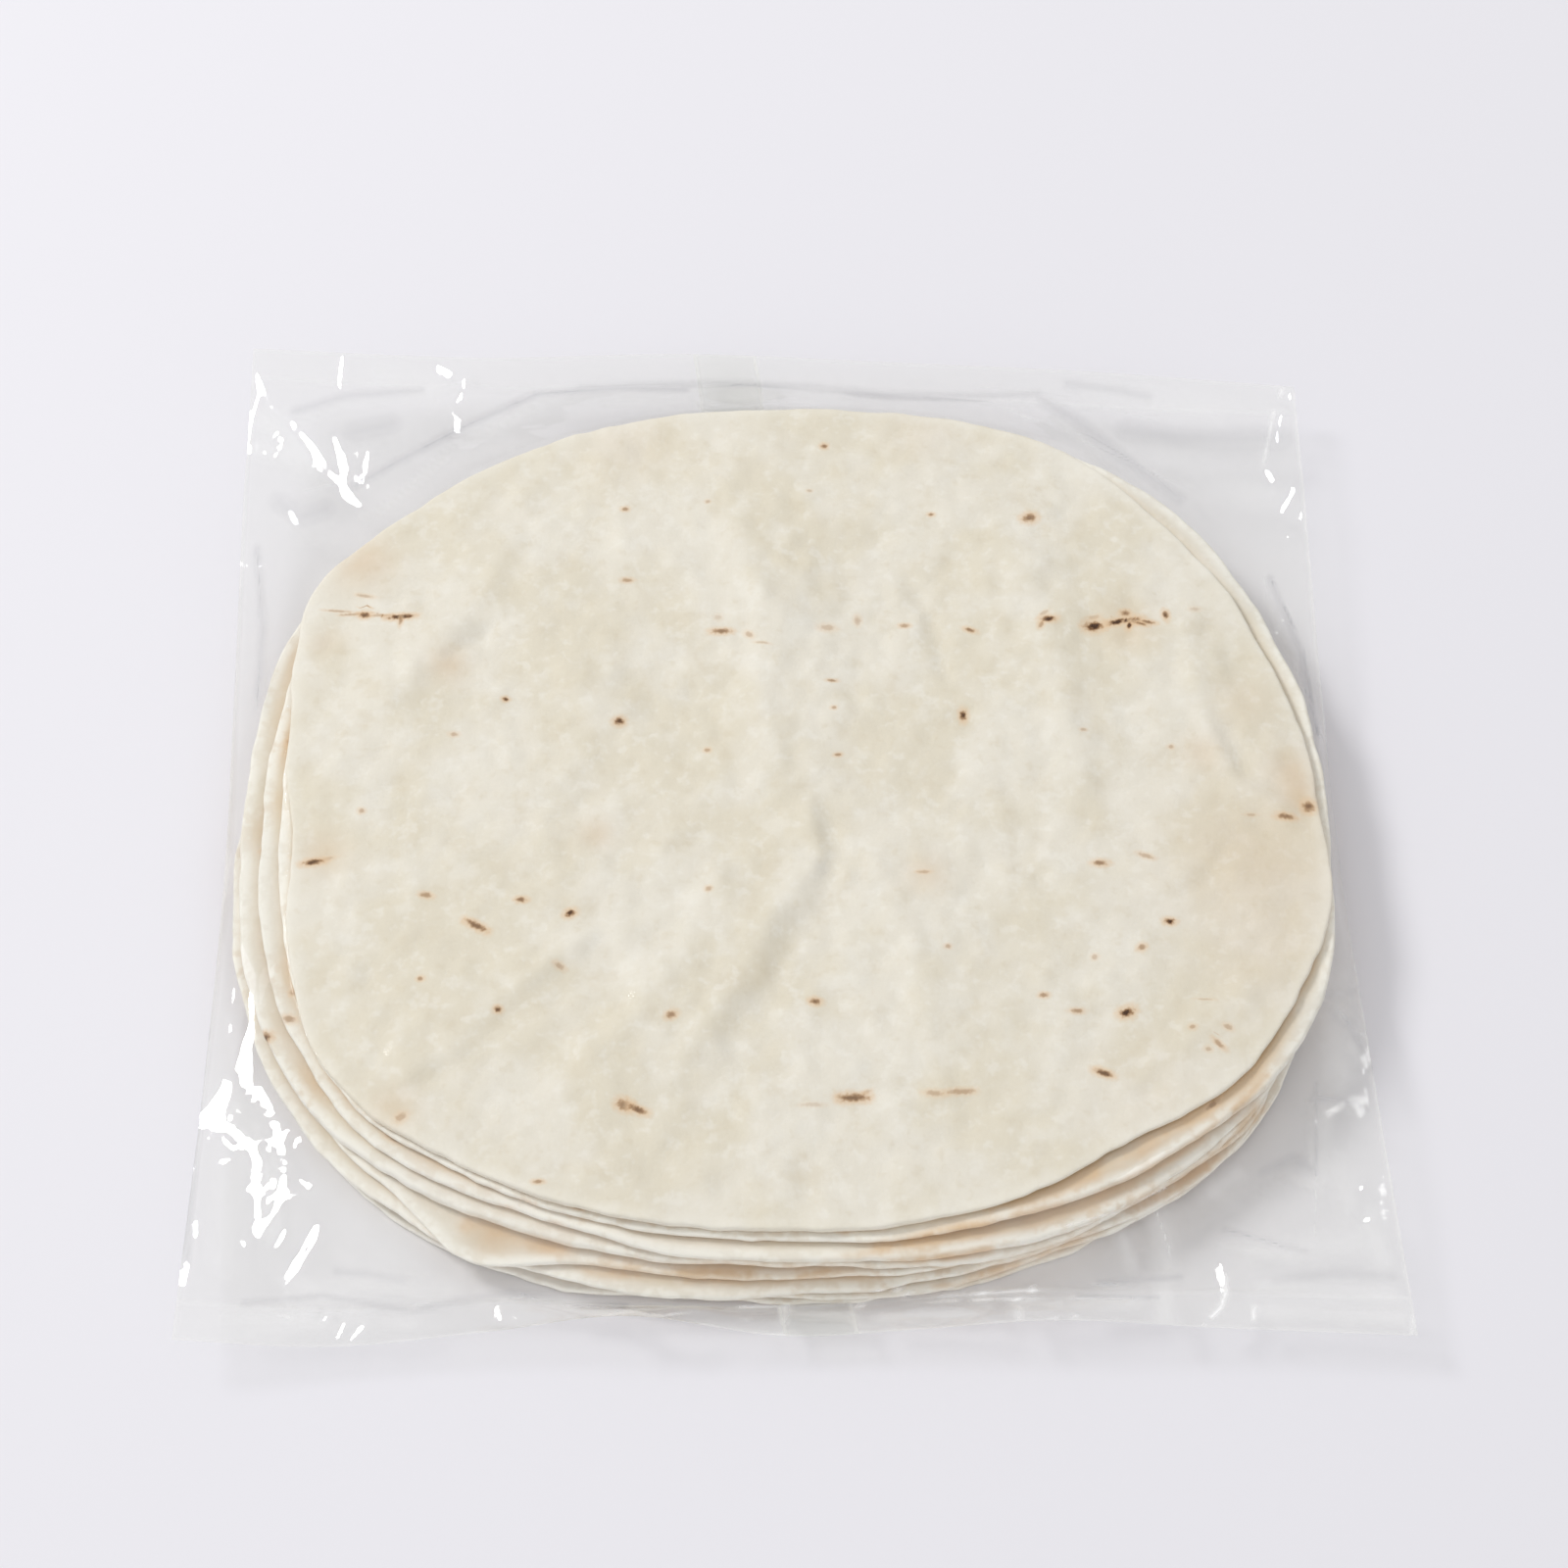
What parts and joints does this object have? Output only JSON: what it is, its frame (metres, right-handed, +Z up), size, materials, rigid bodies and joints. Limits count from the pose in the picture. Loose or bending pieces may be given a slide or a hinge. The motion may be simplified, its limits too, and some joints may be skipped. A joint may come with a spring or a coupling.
{
  "type": "bagged lavash",
  "caption": "Clear sealed film bag lying flat around a stack of thin rounded-square flatbreads, with flat end seals and loose corners.",
  "frame": {"origin": "under the middle of the bag's outline, on the surface that it lies on", "axes": "+Z up through the stack, +X to the right and -Y towards the front, as the pack is seen in the picture"},
  "size_m": [0.3408, 0.3369, 0.0263],
  "materials": {
    "clear_film": "thin clear glossy film with soft wrinkles; the solid has the pale cream of the bread that shows through it",
    "lavash": "matt pale cream flatbread, finely mottled, with small brown baking spots and faint tan patches"
  },
  "bodies": {
    "root": {"film_bag": "clear_film"}
  },
  "joints": []
}
